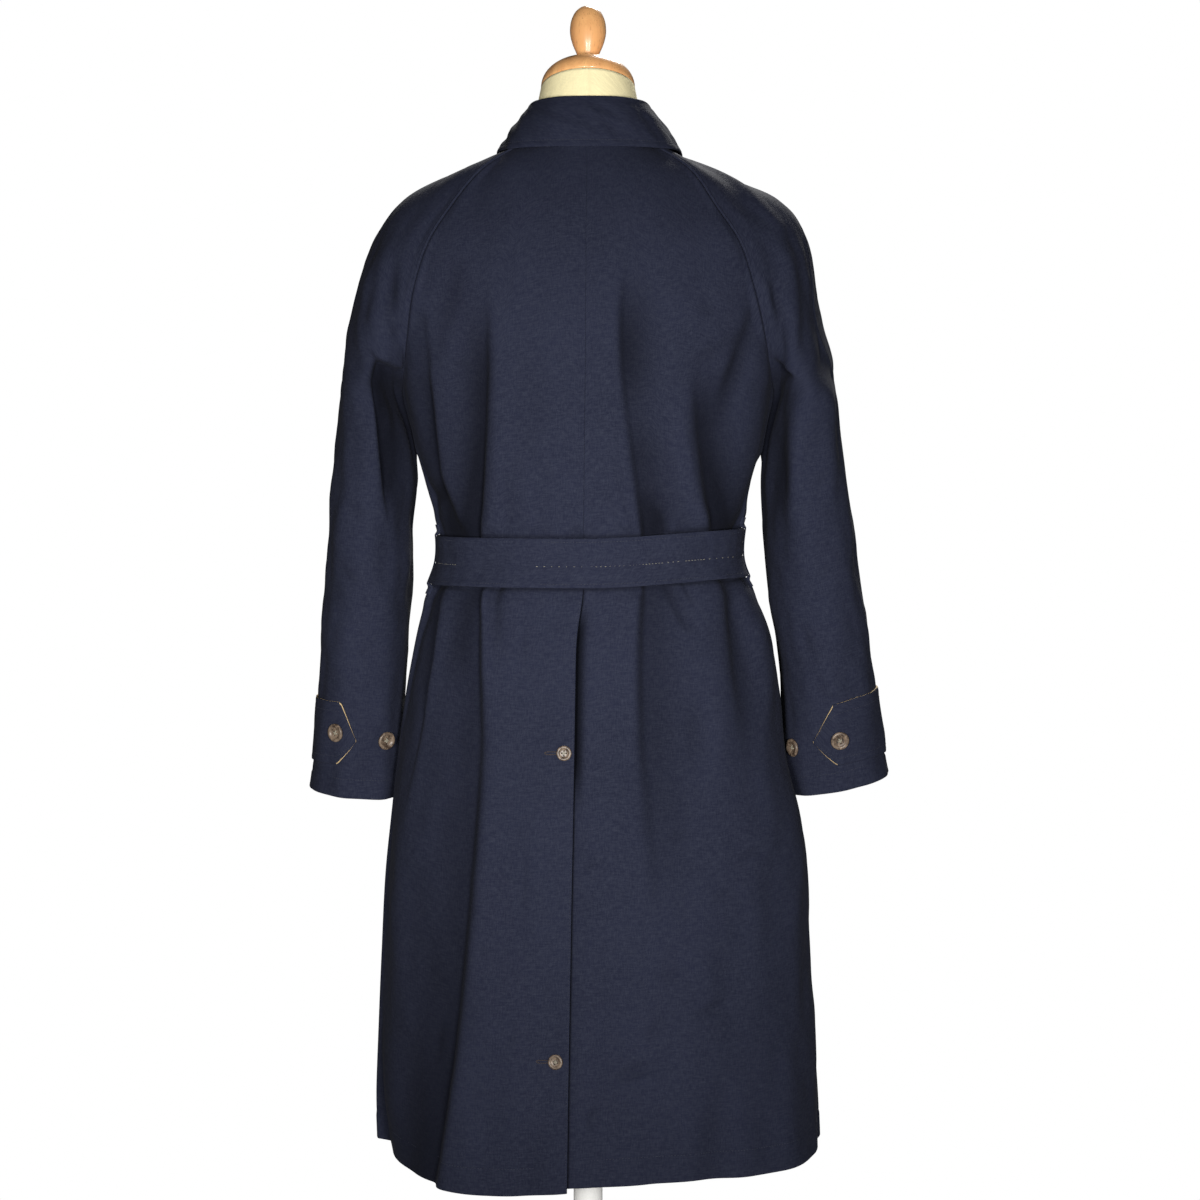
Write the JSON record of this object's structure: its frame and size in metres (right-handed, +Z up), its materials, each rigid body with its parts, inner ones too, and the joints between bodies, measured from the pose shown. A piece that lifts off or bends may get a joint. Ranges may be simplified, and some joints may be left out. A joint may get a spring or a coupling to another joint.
{
  "type": "mackintosh on a dress form",
  "caption": "Knee-length belted raglan mackintosh, buttoned to the neck, with a back vent and strapped cuffs, on a limbless dress form with a wooden cap, a pole and a round foot.",
  "frame": {"origin": "centre of the stand's round foot, on its flat underside", "axes": "+Z up the pole, -Y the way the coat faces, +X the wearer's left"},
  "size_m": [0.6076, 0.4, 1.6307],
  "materials": {
    "navy_cotton": "matte bonded cotton, fine plain weave",
    "calico": "matte calico",
    "honey_wood": "polished turned beech",
    "horn": "polished brown horn",
    "iron": "satin white paint on a steel pole and a cast-iron foot"
  },
  "bodies": {
    "root": {"back_left": "navy_cotton", "back_right": "navy_cotton", "front_left": "navy_cotton", "front_right": "navy_cotton", "sleeve_back_left": "navy_cotton", "sleeve_front_left": "navy_cotton", "sleeve_back_right": "navy_cotton", "sleeve_front_right": "navy_cotton", "collar_stand": "navy_cotton", "collar_fall": "navy_cotton", "belt": "navy_cotton", "belt_loop_left": "navy_cotton", "belt_loop_right": "navy_cotton", "cuff_strap_left": "navy_cotton", "cuff_strap_right": "navy_cotton", "belt_buckle": "horn", "vent_button_upper": "horn", "vent_button_lower": "horn", "cuff_button_left_strap": "horn", "cuff_button_left_spare": "horn", "cuff_button_right_strap": "horn", "cuff_button_right_spare": "horn", "front_button_1": "horn", "front_button_2": "horn", "front_button_3": "horn", "front_button_4": "horn", "front_button_5": "horn", "form_torso": "calico", "neck_cap": "honey_wood", "finial": "honey_wood", "stand_pole": "iron", "stand_foot": "iron"}
  },
  "joints": []
}
